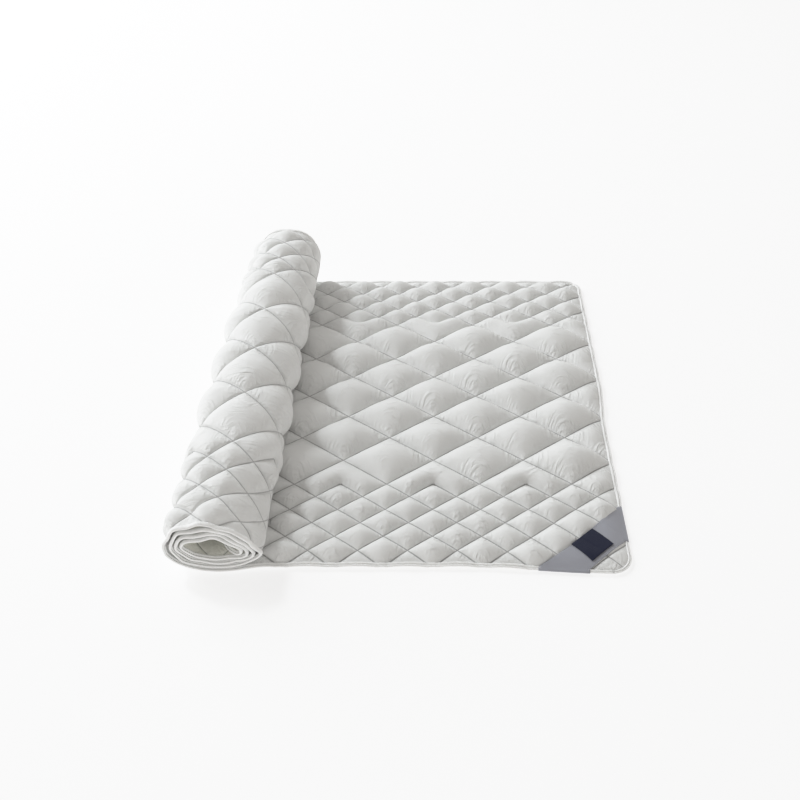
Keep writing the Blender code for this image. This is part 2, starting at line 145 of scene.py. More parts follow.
TABLE_ACROSS = np.linspace(0.0, WIDTH, 113)
TABLE_STEP = 0.002
TABLE_ALONG = np.arange(0.0, LENGTH + 0.05, TABLE_STEP)


def wind():
    """Table of the sheet's middle: X, Z, X and Z of the direction, and turns, at (across, along).

    Flat: X falls with along at the rim's height. Wound: an oval whose half sizes shrink by a pitch a turn,
    with blunt ends; its length is summed step by step, and every place along is read back from that sum.
    """
    per_turn = 240
    turns = np.linspace(0, ROLL_TURNS + 0.5, int((ROLL_TURNS + 0.5) * per_turn))
    flat, wide, high, pitch = (value[:, None] for value in sections(TABLE_ACROSS))
    angle = 2 * np.pi * turns[None]
    w, h = wide - pitch * turns, high - pitch * turns
    blunt = np.sin(angle) / np.sqrt(np.sin(angle) ** 2 + ROUNDNESS * np.cos(angle) ** 2)
    x = FLAT_END_X - flat - (w - h) * blunt - h * np.sin(angle)
    z = RIM_HEIGHT + high - h * np.cos(angle)
    run = np.hypot(np.diff(x, axis=1), np.diff(z, axis=1))
    length = np.concatenate([np.zeros_like(flat), np.cumsum(run, axis=1)], axis=1)
    along = flat + length + TAKE_UP * np.minimum(length, length[:, per_turn:per_turn + 1])
    rows = []
    for k in range(len(TABLE_ACROSS)):
        lying = TABLE_ALONG < flat[k, 0]
        rows.append([np.where(lying, FLAT_END_X - TABLE_ALONG, np.interp(TABLE_ALONG, along[k], x[k])),
                     np.where(lying, RIM_HEIGHT, np.interp(TABLE_ALONG, along[k], z[k])),
                     np.where(lying, 0.0, np.interp(TABLE_ALONG, along[k], turns))])
    x, z, turns = np.array(rows).transpose(1, 0, 2)
    kernel = np.array([1, 4, 6, 4, 1]) / 16
    for _ in range(3):                      # rounds the kinks between two sections
        for values in (x, z):
            padded = np.concatenate([2 * values[:1] - values[2:0:-1], values,
                                     2 * values[-1:] - values[-2:-4:-1]])
            values[:] = sum(kernel[k] * padded[k:k + len(values)] for k in range(5))
    dx, dz = np.gradient(x, axis=1), np.gradient(z, axis=1)
    size = np.hypot(dx, dz)
    return np.stack([x, z, dx / size, dz / size, turns], axis=-1)


WOUND = wind()


def middle(along, across):
    """X, Z, direction X, direction Z and turns at any places, mixed from the table's four neighbours."""
    r = np.clip(np.asarray(across) / WIDTH, 0, 1) * (len(TABLE_ACROSS) - 1)
    c = np.clip(np.asarray(along) / TABLE_STEP, 0, len(TABLE_ALONG) - 1.001)
    r0 = np.minimum(r.astype(int), len(TABLE_ACROSS) - 2)
    c0 = c.astype(int)
    fr, fc = (r - r0)[..., None], (c - c0)[..., None]
    value = ((WOUND[r0, c0] * (1 - fc) + WOUND[r0, c0 + 1] * fc) * (1 - fr)
             + (WOUND[r0 + 1, c0] * (1 - fc) + WOUND[r0 + 1, c0 + 1] * fc) * fr)
    size = np.hypot(value[..., 2], value[..., 3])
    return value[..., 0], value[..., 1], value[..., 2] / size, value[..., 3] / size, value[..., 4]


def rim_distance(along, across):
    """Distance inside the rim, a rectangle with round corners."""
    past_a = np.abs(along - LENGTH / 2) - (LENGTH / 2 - RIM - CORNER_RADIUS)
    past_b = np.abs(across - WIDTH / 2) - (WIDTH / 2 - RIM - CORNER_RADIUS)
    outside = np.hypot(np.maximum(past_a, 0), np.maximum(past_b, 0))
    return CORNER_RADIUS - outside - np.minimum(np.maximum(past_a, past_b), 0)


def round_corners(along, across):
    """Squeeze the grid's square corners on to the round ones: each square ring becomes an arc."""
    end = np.where(along > LENGTH / 2, LENGTH, 0.0)
    side = np.where(across > WIDTH / 2, WIDTH, 0.0)
    reach = RIM + CORNER_RADIUS
    to_end, to_side = reach - np.abs(along - end), reach - np.abs(across - side)
    inside = (to_end > 0) & (to_side > 0)
    shrink = np.maximum(to_end, to_side) / np.maximum(np.hypot(to_end, to_side), 1e-9)
    turn_a, turn_b = np.where(end == 0, 1, -1), np.where(side == 0, 1, -1)
    return (np.where(inside, end + turn_a * (reach - to_end * shrink), along),
            np.where(inside, side + turn_b * (reach - to_side * shrink), across))


def drift(along, across):
    """X and Y by which the uneven edge carries a place."""
    flat = sections(across)[0]
    end = END_DRIFT * smoothstep(0.38, 0.55, across / WIDTH) * (1 - smoothstep(STIFF_EDGE, 0.315, along))
    corner = (CORNER_DRIFT * (1 - smoothstep(STIFF_EDGE, 0.297, along))
              * (1 - smoothstep(STIFF_EDGE, 0.126, across)))
    roll = (ROLL_DRIFT * smoothstep(flat - 0.09, flat, along)
            * (1 - smoothstep(STIFF_EDGE, 0.27, across)))
    return end, -corner - roll


def near_end(across):
    """1 at the roll's near end, where it is pressed, and 0 beyond a quarter of the width."""
    return 1 - smoothstep(0.06, 0.26, across / WIDTH)


def leaned(x, z, across):
    """Height of a point after the near end's upper side is pressed down towards the flat end."""
    flat, wide, _, _ = sections(across)
    towards = smoothstep(0.1, 1.0, (x - FLAT_END_X + flat) / wide)
    return z - LEAN * near_end(across) * towards * np.maximum(z - LEAN_FROM, 0)


def dented(x, z, across):
    """X and height of a point of the roll after its near end is pushed out of true.

    A few slow waves in X and Z, the same for all layers so that none meets another, and one dent in the
    upper edge. They fade towards the floor, the flat end and the roll's middle.
    """
    flat = sections(across)[0]
    soft = (1 - smoothstep(0.0, 0.13, across)) * smoothstep(0.012, 0.04, z)
    soft = soft * (1 - smoothstep(0.07, 0.10, x - FLAT_END_X + flat))
    wave_x = 0.0026 * np.sin(x / 0.0105 + 1.0) * np.cos(z / 0.012) + 0.0016 * np.sin(z / 0.006 + x / 0.02)
    wave_z = 0.0022 * np.sin(x / 0.0088 + z / 0.02 + 0.4) + 0.0012 * np.cos(z / 0.0065 - x / 0.012)
    away = np.hypot((x - DENT[0]) / 0.011, (z - DENT[1]) / 0.009)
    dent = 0.0035 * np.exp(-away ** 2) * (1 - smoothstep(0.0, 0.03, across))
    return x + soft * wave_x, z + soft * wave_z - dent


def place(along, across, offset):
    """World points that stand off the sheet's middle by offset, towards its upper face."""
    x, z, dx, dz, _ = middle(along, across)
    shift_x, shift_y = drift(along, across)
    x, z = x + dz * offset, z - dx * offset
    x, z = dented(x, leaned(x, z, across), across)
    return np.stack([x + shift_x, NEAR_Y + across + shift_y, z], axis=-1)


def small_puff(along, across):
    """0 on the border's seams and 1 in the middle of its diamonds."""
    p, q = along / (DIAMOND / 4), across / ROW
    rising, falling = np.abs((p + q + 1) % 2 - 1), np.abs((p - q + 1) % 2 - 1)
    return np.sqrt(rising * (2 - rising) * falling * (2 - falling))


def band_share(along, across):
    """1 on the band's inner edge, which is a little hollow, and less towards the corner."""
    run = np.clip(across / BAND_INNER_END, 0, 1)
    hollow = BAND_HOLLOW * 4 * run * (1 - run)
    return (along + hollow) / BAND_INNER_NEAR + (across + hollow) / BAND_INNER_END


def band_height(distance):
    """Height of the band's underside, by the distance inside the rim."""
    at_rim = RIM_HEIGHT + PIPE_RADIUS + GAP
    return at_rim + (BAND_TOP - BAND_THICKNESS - at_rim) * closing(distance, EDGE_SLOPE)


def band_relief(along, across):
    """How far the diamonds under the band still push it up."""
    return 0.0014 * small_puff(along, across) * closing(rim_distance(along, across) - 0.004, 0.03)


def rim_wave(along, across):
    """How far the rim rises between two seams where the sheet lies, or bulges outwards on the roll."""
    flat = sections(across)[0]
    turns = middle(along, across)[4]
    lying = 1 - smoothstep(flat - 0.108, flat, along)
    rolled = smoothstep(0.1, 0.25, turns) * (1 - smoothstep(0.65, 0.8, turns))
    free = smoothstep(1.0, 1.15, band_share(along, across))
    wave = RIM_WAVE * small_puff(along, across) * (lying * free - rolled)
    return wave * (1 - closing(rim_distance(along, across), EDGE_SLOPE))


# ---------------------------------------------------------------- quilting, relaxed as cloth

def seam_grid(i, j):
    """Whether each grid point lies on a seam: small diamonds in both borders, large ones between."""
    border = (j <= BORDER_ROWS * FINE) | (j >= (ROWS - BORDER_ROWS) * FINE)
    small = ((i + j) % (2 * FINE) == 0) | ((i - j) % (2 * FINE) == 0)
    shift = (BORDER_ROWS + 2) * FINE
    large = ((i + j - shift) % (4 * FINE) == 0) | ((i - j + shift) % (4 * FINE) == 0)
    return np.where(border, small, large)


def dome_over(held, crowns, middle_share, steps=700):
    """First height of the cover in every cell.

    The soap-film equation (the mean of four neighbours plus a constant) is repeated from rest with the
    seams held, and the film is scaled to the two crowns, with a soft change from one to the other.
    """
    film = np.zeros(held.shape, np.float32)
    free = ~held
    for _ in range(steps):
        mean = (film[2:, 1:-1] + film[:-2, 1:-1] + film[1:-1, 2:] + film[1:-1, :-2]) / 4
        film[1:-1, 1:-1] = (mean + 1) * free[1:-1, 1:-1]
    film_top = 0.295                        # the film's top, over a diamond that reaches one step each way
    small = crowns[1] / (film_top * FINE ** 2)
    large = crowns[0] / (film_top * (2 * FINE) ** 2)
    return (film * small * (large / small) ** middle_share).astype(np.float32)


def uneven(shape, spacing, rng):
    """Smooth random field with a deviation of about 1: random values on a coarse grid, mixed softly."""
    values = rng.standard_normal((int(shape[0] / spacing) + 3, int(shape[1] / spacing) + 3))
    x, y = np.arange(shape[0]) / spacing, np.arange(shape[1]) / spacing
    x0, y0 = x.astype(int), y.astype(int)
    fx, fy = smoothstep(0, 1, x - x0)[:, None], smoothstep(0, 1, y - y0)[None]
    rows = values[x0] * (1 - fx) + values[x0 + 1] * fx
    return rows[:, y0] * (1 - fy) + rows[:, y0 + 1] * fy


def crossing_distance(along, across, in_border):
    """Distance to the nearest crossing of seams; in the border it counts 1.6 times.

    With t and d the sum and difference of the two lattice numbers, crossings are where both are even.
    """
    result = []
    for size, shift in ((1, 0), (2, BORDER_ROWS + 2)):
        p, q = along / (DIAMOND / 4) / size, (across / ROW - shift) / size
        t, d = p + q, p - q
        t, d = t - 2 * np.round(t / 2), d - 2 * np.round(d / 2)
        result.append(np.hypot((t + d) / 2 * size * DIAMOND / 4, (t - d) / 2 * size * ROW))
    return np.where(in_border, 1.6 * result[0], result[1])


def pull(points, first, second, rest, stiffness, weight):
    """Move both ends of a set of links so that each link comes nearer to its rest length."""
    gap = points[second] - points[first]
    length = np.sqrt((gap * gap).sum(-1)) + 1e-9
    give = weight[first] + weight[second]
    step = (stiffness * (length - rest) / length / np.maximum(give, 1e-6))[..., None] * gap
    points[first] += weight[first][..., None] * step
    points[second] -= weight[second][..., None] * step


def halves(count):
    """Two sets of neighbouring pairs along an axis, so that no point is in one set twice."""
    for start in range(2):
        n = (count - start) // 2
        yield slice(start, start + 2 * n - 1, 2), slice(start + 1, start + 2 * n, 2)


def relax(held, dome, slack_along, slack_across, steps, rng):
    """Let the cover settle over its filling and return how far each point moves: along, across and up.

    The cloth is longer than the space between its seams by what its first dome takes up and by the two
    slacks, which vary from place to place. Each step pushes every point along its normal, as the filling's
    pressure does, until it is a little above that dome, then pulls the links along, across and on both
    diagonals to their rest length, and smooths the curvature a little. What slack is left makes puckers.
    """
    n, m = held.shape
    home = np.zeros((n, m, 3), np.float32)
    home[..., 0] = np.arange(n)[:, None] * ALONG_STEP
    home[..., 1] = np.arange(m)[None] * ACROSS_STEP
    weight = np.where(held, 0.0, 1.0).astype(np.float32)
    points = home.copy()
    points[..., 2] = (0.9 * dome + 0.0005 * rng.standard_normal((n, m))) * weight
    before = points.copy()
    rest_along = ALONG_STEP * (1 + (slack_along[1:] + slack_along[:-1]) / 2)
    rest_across = ACROSS_STEP * (1 + (slack_across[:, 1:] + slack_across[:, :-1]) / 2)
    flat_diagonal = np.hypot(rest_along[:, :-1], rest_across[:-1])
    falling = np.hypot(flat_diagonal, dome[1:, 1:] - dome[:-1, :-1]).astype(np.float32)
    rising = np.hypot(flat_diagonal, dome[1:, :-1] - dome[:-1, 1:]).astype(np.float32)
    rest_along = np.hypot(rest_along, np.diff(dome, axis=0)).astype(np.float32)
    rest_across = np.hypot(rest_across, np.diff(dome, axis=1)).astype(np.float32)
    whole, low, high = slice(None), slice(0, -1), slice(1, None)
    most = dome * HIGHEST + HIGHEST_MORE
    for _ in range(steps):
        normal = np.cross(np.gradient(points, axis=0), np.gradient(points, axis=1))
        normal /= np.linalg.norm(normal, axis=-1, keepdims=True) + 1e-12
        push = PUSH * np.clip((most - points[..., 2]) / 0.002, -1, 1) * weight
        speed = (points - before) * SPEED_KEPT
        before = points.copy()
        points += (speed + push[..., None] * normal) * weight[..., None]
        for _ in range(2):
            for a, b in halves(n):
                pull(points, (a, whole), (b, whole), rest_along[a], 1.0, weight)
            for a, b in halves(m):
                pull(points, (whole, a), (whole, b), rest_across[:, a], 1.0, weight)
            for a, b in halves(n):
                pull(points, (a, low), (b, high), falling[a], DIAGONAL_HOLD, weight)
                pull(points, (a, high), (b, low), rising[a], DIAGONAL_HOLD, weight)
        height = points[..., 2]
        bend = height.copy()
        for _ in range(2):
            inner = bend[1:-1, 1:-1]
            mean = (bend[2:, 1:-1] + bend[:-2, 1:-1] + bend[1:-1, 2:] + bend[1:-1, :-2]) / 4
            bend = np.pad(mean - inner, 1)
        height -= BENDING * bend * weight
        np.maximum(height, 0, out=height)
    return points - home


def grid_rows():
    """Grid numbers and places across, the first and last moved on to the rim."""
    j = np.arange(math.ceil(RIM / ACROSS_STEP), ROWS * FINE - math.ceil(RIM / ACROSS_STEP) + 1)
    across = j * ACROSS_STEP
    across[0], across[-1] = RIM, WIDTH - RIM
    return j, across


ROW_NUMBERS, ROW_PLACES = grid_rows()
COARSE = np.unique([int(np.argmin(np.abs(ROW_PLACES - share * WIDTH))) for share in COARSE_SHARES])


# ---------------------------------------------------------------- meshes

def mesh_object(name, points, faces, uv, material):
    """New object from whole arrays: points (n, 3), triangles (k, 3) and a UV pair for each point."""
    mesh = bpy.data.meshes.new(name)
    mesh.vertices.add(len(points))
    mesh.vertices.foreach_set("co", np.ascontiguousarray(points, np.float32).ravel())
    mesh.loops.add(3 * len(faces))
    mesh.loops.foreach_set("vertex_index", np.ascontiguousarray(faces, np.int32).ravel())
    mesh.polygons.add(len(faces))
    mesh.polygons.foreach_set("loop_start", np.arange(0, 3 * len(faces), 3, dtype=np.int32))
    layer = mesh.uv_layers.new(name="UVMap")
    layer.data.foreach_set("uv", np.ascontiguousarray(uv[faces.ravel()], np.float32).ravel())
    mesh.materials.append(material)
    mesh.update(calc_edges=True)
    mesh.validate()
    mesh.shade_smooth()
    thing = bpy.data.objects.new(name, mesh)
    bpy.context.scene.collection.objects.link(thing)
    return thing


def grid_triangles(ids, folds=None):
    """Triangles of a grid of point numbers (n, m); folds picks the diagonal that follows the seams."""
    a, b, c, d = ids[:-1, :-1], ids[1:, :-1], ids[1:, 1:], ids[:-1, 1:]
    if folds is None:
        folds = np.zeros(a.shape, bool)
    first = np.where(folds[..., None], np.stack([a, b, d], -1), np.stack([a, b, c], -1))
    second = np.where(folds[..., None], np.stack([b, c, d], -1), np.stack([a, c, d], -1))
    return np.concatenate([first.reshape(-1, 3), second.reshape(-1, 3)])


def meet(fine, coarse, kept):
    """Triangles between a fine column and the next coarse one, which keeps only some of its rows."""
    k = np.arange(len(fine) - 1)
    part = np.searchsorted(kept, k, side="right") - 1
    half = (kept[part] + kept[part + 1]) // 2
    fans = np.stack([fine[:-1], coarse[part + (k >= half)], fine[1:]], -1)
    between = (kept[:-1] + kept[1:]) // 2
    return np.concatenate([fans, np.stack([fine[between], coarse[:-1], coarse[1:]], -1)])


def shown_face(side, along, across):
    """Offset of a face off the sheet's middle without its crowns, and how much of the crown shows.

    The upper side is pressed flat from under the roll on. The underside is flat on the floor, puffs out on
    the roll's outside and is pressed again where the next turn covers it, which is sooner at both ends.
    """
    flat, _, _, pitch = sections(across)
    x, z, dx, dz, turns = middle(along, across)
    distance = rim_distance(along, across)
    pressed = (pitch - LAYER_GAP) / 2
    within = smoothstep(0.0, 0.15, turns) if side == "upper" else smoothstep(0.9, 1.1, turns)
    edge = closing(distance, EDGE_SLOPE + (INNER_EDGE_SLOPE - EDGE_SLOPE) * within)
    if side == "upper":
        under_roll = smoothstep(flat - 0.0765, flat - 0.036, along)
        seam = SEAM_HEIGHT - RIM_HEIGHT
        return (seam + (pressed - seam) * under_roll) * edge, 1 - under_roll
    near, far = near_end(across), smoothstep(0.76, 0.90, across / WIDTH)
    from_turn, to_turn = 0.78 - 0.24 * near - 0.16 * far, 0.92 - 0.20 * near - 0.12 * far
    in_sight = smoothstep(0.02, 0.17, turns) * (1 - smoothstep(from_turn, to_turn, turns))
    wound = (pressed + (ROLL_SEAM_OFFSET - pressed) * in_sight) * edge
    wound = np.where(dx < 0, np.minimum(wound, z / np.maximum(-dx, 1e-6)), wound)
    lying = RIM_HEIGHT * closing(distance, UNDER_SLOPE)
    return np.where(along <= flat, lying, wound), np.where(along <= flat, 0.0, in_sight)


def face_points(side, crown, places, rows, shift=None):
    """Points and UV of the outer face at places along and rows across, with the relaxed shift if given.

    The sheet's middle at each place, waved at the rim, plus the face's offset and the shift's rise as far
    as the crown shows. Near the band the upper face stays under the band's height.
    """
    s, v = np.meshgrid(np.array(places, float), rows, indexing="ij")
    u, w, rise = np.zeros((3, *s.shape)) if shift is None else np.moveaxis(shift, -1, 0)
    s, v = round_corners(s, v)
    offset, share = shown_face(side, s, v)
    wave = rim_wave(s, v)
    high = offset + rise * share
    if side == "upper":
        beyond = smoothstep(1.0, 1.12, band_share(s, v))
        limit = band_height(rim_distance(s, v)) + band_relief(s, v) - RIM_HEIGHT - 2 * GAP
        high = np.where(beyond < 1, np.minimum(high, limit + 1.2 * crown * beyond), high)
        off = wave + high
    else:
        off = wave * (1 - closing(rim_distance(s, v), UNDER_SLOPE)) - high
    return place(s + u * share, v + w * share, off), np.stack([s, v], -1)


def cover(name, side, fine_from, fine_to, crowns, slacks, seed, material):
    """One cover of the topper as a closed shell, fine between two places along and coarse elsewhere.

    The fine part is the relaxed cloth. Its inner side is the sheet's middle, which no one sees. The slacks
    are the extra length along, across and near the crossings of the seams.
    """
    first = max(math.ceil(RIM / ALONG_STEP - 0.5), round(fine_from / ALONG_STEP))
    i = np.arange(first, round(fine_to / ALONG_STEP) + 1)
    starts_at_rim = fine_from <= RIM
    held = seam_grid(i[:, None], ROW_NUMBERS[None])
    held[0] = held[-1] = True
    held[:, 0] = held[:, -1] = True
    a, b = np.meshgrid(i * ALONG_STEP, ROW_PLACES, indexing="ij")
    from_edge = np.minimum(b, WIDTH - b)
    in_border = from_edge < BORDER_ROWS * ROW
    rng = np.random.default_rng(seed)
    dome = dome_over(held, crowns, smoothstep((BORDER_ROWS - 1) * ROW, (BORDER_ROWS + 1) * ROW, from_edge))
    gathered = slacks[2] * np.clip(1 - crossing_distance(a, b, in_border) / 0.032, 0, 1)
    dome *= (1 + 0.08 * uneven(held.shape, 1.5 * FINE, rng)).astype(np.float32)
    extra = [slack + gathered * (1 + 0.6 * uneven(held.shape, 0.7 * FINE, rng)) for slack in slacks[:2]]
    moved = relax(held, dome, *extra, steps=SETTLING_STEPS, rng=rng)

    fine_a = i * ALONG_STEP
    if starts_at_rim:
        fine_a[0] = RIM
    inwards = np.array([0.0, 0.004, 0.009, 0.6 * CORNER_RADIUS])       # places that round a corner well
    before = [] if starts_at_rim else [*RIM + inwards, *np.arange(0.05, fine_a[0] - 0.02, 0.04)]
    behind = [*np.arange(fine_a[-1] + INNER_STEP, LENGTH - 0.03, INNER_STEP), *LENGTH - RIM - inwards[::-1]]

    points, uvs, faces = [], [], []

    def add(block_points, block_uv):
        """Keep a block of points and return their numbers as a grid."""
        start = sum(map(len, points))
        points.append(block_points.reshape(-1, 3))
        uvs.append(block_uv.reshape(-1, 2))
        return start + np.arange(len(points[-1])).reshape(block_points.shape[:2])

    coarse_rows = ROW_PLACES[COARSE]
    fine = add(*face_points(side, crowns[1], fine_a, ROW_PLACES, moved))
    back = add(*face_points(side, crowns[1], behind, coarse_rows))
    rising = (i[:-1, None] + ROW_NUMBERS[None, :-1]) % 2 == 0
    falls = held[:-1, :-1] & held[1:, 1:]
    climbs = held[1:, :-1] & held[:-1, 1:]
    faces.append(grid_triangles(fine, np.where(climbs, True, np.where(falls, False, rising))))
    faces.append(meet(fine[-1], back[0], COARSE))
    faces.append(grid_triangles(back))
    outer = [fine[:, COARSE], back]
    if before:
        front = add(*face_points(side, crowns[1], before, coarse_rows))
        faces.append(grid_triangles(front))
        faces.append(meet(fine[0], front[-1], COARSE)[:, ::-1])
        outer.insert(0, front)
    outer = np.concatenate(outer)

    s, v = round_corners(*np.meshgrid(np.array([*before, *fine_a, *behind]), coarse_rows, indexing="ij"))
    inner = add(place(s, v, rim_wave(s, v)), np.stack([s, v], -1))
    inner[:, 0], inner[:, -1], inner[-1] = outer[:, 0], outer[:, -1], outer[-1]
    faces.append(grid_triangles(inner[1:])[:, ::-1])
    if starts_at_rim:
        faces.append(meet(fine[0], inner[1], COARSE)[:, ::-1])
    else:
        inner[0] = outer[0]
        faces.append(grid_triangles(inner[:2])[:, ::-1])
    faces = np.concatenate(faces)
    faces = faces[(faces[:, 0] != faces[:, 1]) & (faces[:, 1] != faces[:, 2]) & (faces[:, 2] != faces[:, 0])]
    # At a corner the outer and the inner triangle can be one and the same; then neither is kept.
    _, which, count = np.unique(np.sort(faces, axis=1), axis=0, return_inverse=True, return_counts=True)
    faces = faces[count[which.ravel()] == 1]
    if side == "upper":
        faces = faces[:, ::-1]
    used, faces = np.unique(faces, return_inverse=True)
    return mesh_object(name, np.concatenate(points)[used], faces.reshape(-1, 3), np.concatenate(uvs)[used],
                       material)


# ---------------------------------------------------------------- binding

# One row a point round the binding: outwards from the rim and up, in millimetres.
BINDING_PROFILE = np.array([
    (-1.5, 0.3), (-1.3, 1.6), (-0.6, 2.5), (0.6, 2.8), (1.7, 2.4), (2.2, 1.6), (2.5, 0.9), (2.9, 1.5),
    (3.8, 1.9), (4.7, 1.5), (5.1, 0.4), (4.9, -0.7), (4.1, -1.5), (2.7, -2.0), (1.1, -2.1), (-0.5, -1.8),
    (-1.3, -0.9),
]) / 1000


def rim_path(step):
    """Places round the rim and the outward direction there: four straight sides and four arcs."""
    inset = RIM + CORNER_RADIUS
    a_side = np.linspace(inset, LENGTH - inset, int((LENGTH - 2 * inset) / step))
    b_side = np.linspace(inset, WIDTH - inset, int((WIDTH - 2 * inset) / step))
    arc = np.linspace(0, np.pi / 2, 17)[1:-1]

    def corner(a, b, start):
        out = np.stack([np.cos(start + arc), np.sin(start + arc)], -1)
        return np.concatenate([np.array([a, b]) + CORNER_RADIUS * out, out], -1)

    def side(a, b, out_a, out_b):
        a, b = np.broadcast_arrays(a, b)
        return np.stack([a, b, np.full(a.shape, float(out_a)), np.full(a.shape, float(out_b))], -1)

    return np.concatenate([
        side(a_side, RIM, 0, -1), corner(LENGTH - inset, inset, -np.pi / 2),
        side(LENGTH - RIM, b_side, 1, 0), corner(LENGTH - inset, WIDTH - inset, 0),
        side(a_side[::-1], WIDTH - RIM, 0, 1), corner(inset, WIDTH - inset, np.pi / 2),
        side(RIM, b_side[::-1], -1, 0), corner(inset, inset, np.pi)])


def build_binding(material):
    """The binding: its double-ridged profile carried round the rim, square to it and to the sheet."""
    path = rim_path(0.004)
    a, b, out_a, out_b = path.T
    wave = rim_wave(a, b)
    start = place(a, b, wave)
    _, _, dx, dz, _ = middle(a, b)
    outward = np.stack([dx * out_a, out_b, dz * out_a], -1)
    upward = np.stack([dz, np.zeros_like(dz), -dx], -1)
    outline = (1 + FULLER * smoothstep(1.0, 1.15, band_share(a, b)))[:, None, None] * BINDING_PROFILE
    points = start[:, None] + outline[..., :1] * outward[:, None] + outline[..., 1:] * upward[:, None]
    n, m = len(path), len(BINDING_PROFILE)
    run = np.concatenate([[0], np.cumsum(np.linalg.norm(np.diff(start, axis=0), axis=1))])
    round_it = np.concatenate([[0], np.cumsum(np.hypot(*np.diff(BINDING_PROFILE, axis=0).T))])
    uv = np.stack(np.broadcast_arrays(run[:, None], round_it[None]), -1)
    ids = np.arange(n * m).reshape(n, m)
    closed = np.concatenate([ids, ids[:1]])
    closed = np.concatenate([closed, closed[:, :1]], axis=1)
    return mesh_object("binding", points.reshape(-1, 3), grid_triangles(closed), uv.reshape(-1, 2), material)


# ---------------------------------------------------------------- band and label

def band_line(share, across_band):
    """Places on the band: share runs along it from the near edge to the flat end, across_band from its
    outer edge, at 0, to its inner one, at 1, which is a little hollow."""
    near = BAND_OUTER_NEAR + across_band * (BAND_INNER_NEAR - BAND_OUTER_NEAR)
    end = BAND_OUTER_END + across_band * (BAND_INNER_END - BAND_OUTER_END)
    hollow = BAND_HOLLOW * across_band * 4 * share * (1 - share)
    return near + share * (RIM - near) - hollow, RIM + share * (end - RIM) - hollow


def build_band():
    """The satin ribbon over the corner, wrapped under the binding at both ends."""
    shares, widths = np.linspace(0, 1, 90), np.linspace(0, 1, 30)
    wrap = np.radians(np.linspace(-50, 75, 9))
    share, width = np.meshgrid(shares, widths, indexing="ij")
    a, b = band_line(share, width)
    height = band_height(rim_distance(a, b)) + band_relief(a, b) + BAND_LIFT
    top = place(a, b, height - RIM_HEIGHT)
    near = np.stack([np.broadcast_to(BAND_OUTER_NEAR + widths * (BAND_INNER_NEAR - BAND_OUTER_NEAR),
                                     (len(wrap), len(widths))),
                     np.broadcast_to((PIPE_INSET - WRAP_RADIUS * np.cos(wrap))[:, None],
                                     (len(wrap), len(widths)))], -1)
    end = np.stack([near[..., 1],
                    np.broadcast_to(BAND_OUTER_END + widths * (BAND_INNER_END - BAND_OUTER_END),
                                    (len(wrap), len(widths)))], -1)
    lift = np.broadcast_to((WRAP_RADIUS * np.sin(wrap))[:, None], (len(wrap), len(widths)))
    points = np.concatenate([place(near[..., 0], near[..., 1], lift), top,
                             place(end[::-1, :, 0], end[::-1, :, 1], lift[::-1])])
    steps = np.linalg.norm(np.diff(points[:, 15], axis=0), axis=1)
    run = np.concatenate([[0], np.cumsum(steps)])
    sides = np.cross(np.diff(points, axis=0)[:, :-1], np.diff(points, axis=1)[:-1])
    wide = float(np.linalg.norm(sides, axis=-1).sum() / run[-1])
    uv = np.stack(np.broadcast_arrays(run[:, None], widths[None] * wide), -1)
    ids = np.arange(points[..., 0].size).reshape(points.shape[:2])
    band = mesh_object("satin_band", points.reshape(-1, 3), grid_triangles(ids)[:, ::-1],
                       uv.reshape(-1, 2), satin(wide))
    thicken(band, BAND_THICKNESS)
    return band, (wide, float(run[-1]))


def thicken(thing, thickness):
    """Give a sheet its thickness on its upper side."""
    solidify = thing.modifiers.new("thickness", "SOLIDIFY")
    solidify.thickness = thickness
    solidify.offset = 1.0
    solidify.use_even_offset = True


def build_label(material):
    """The bare woven label: a square grid along the band's diagonals."""
    shares = np.linspace(-0.5, 0.5, 36)
    d, t = np.meshgrid(LABEL_WIDTH * shares, LABEL_LENGTH * shares, indexing="ij")
    d, t = (LABEL_CENTRE + d * math.cos(LABEL_TURN) + t * math.sin(LABEL_TURN),
            LABEL_SHIFT + t * math.cos(LABEL_TURN) - d * math.sin(LABEL_TURN))
    a, target = (d - t) / math.sqrt(2), (d + t) / math.sqrt(2)
    b = target
    for _ in range(12):
        b = target - drift(a, b)[1]
    height = band_height(rim_distance(a, b)) + band_relief(a, b) + BAND_THICKNESS + 2 * GAP
    points = place(a, b, height - RIM_HEIGHT)
    u, v = np.meshgrid(shares * LABEL_WIDTH, shares * LABEL_LENGTH, indexing="ij")
    ids = np.arange(d.size).reshape(d.shape)
    label = mesh_object("woven_label", points.reshape(-1, 3), grid_triangles(ids)[:, ::-1],
                        np.stack([u, v], -1).reshape(-1, 2), material)
    thicken(label, LABEL_THICKNESS)
    return label


# ---------------------------------------------------------------- materials

COTTON_WHITE = (0.80, 0.80, 0.79)
RING_STEP, GATHER_STEP, STREAK_STEP = 0.0044, 0.0038, 0.0045           # from one pucker to the next
STITCH, THREAD = 0.0013, 0.0007


def node(tree, kind, inputs=None, **settings):
    """Add a shader node, set its properties and its inputs; an input may be a value or a socket."""
    made = tree.nodes.new(kind)
    for key, value in settings.items():
        setattr(made, key, value)
    for key, value in (inputs or {}).items():
        socket = made.inputs[key]
        if isinstance(value, bpy.types.NodeSocket):
            tree.links.new(value, socket)
        else:
            socket.default_value = value
    return made


def maths(tree, operation, *values):
    """A Math node's output for one to three values or sockets."""
    return node(tree, "ShaderNodeMath", dict(enumerate(values)), operation=operation).outputs[0]


def added(tree, *values):
    """The sum of values or sockets, from the left."""
    return functools.reduce(lambda one, two: maths(tree, "ADD", one, two), values)


def product(tree, *values):
    """The product of values or sockets, from the left."""
    return functools.reduce(lambda one, two: maths(tree, "MULTIPLY", one, two), values)


def ribs(tree, value, length):
    """A sine of value with one wave in each length."""
    return maths(tree, "SINE", product(tree, value, 2 * math.pi / length))


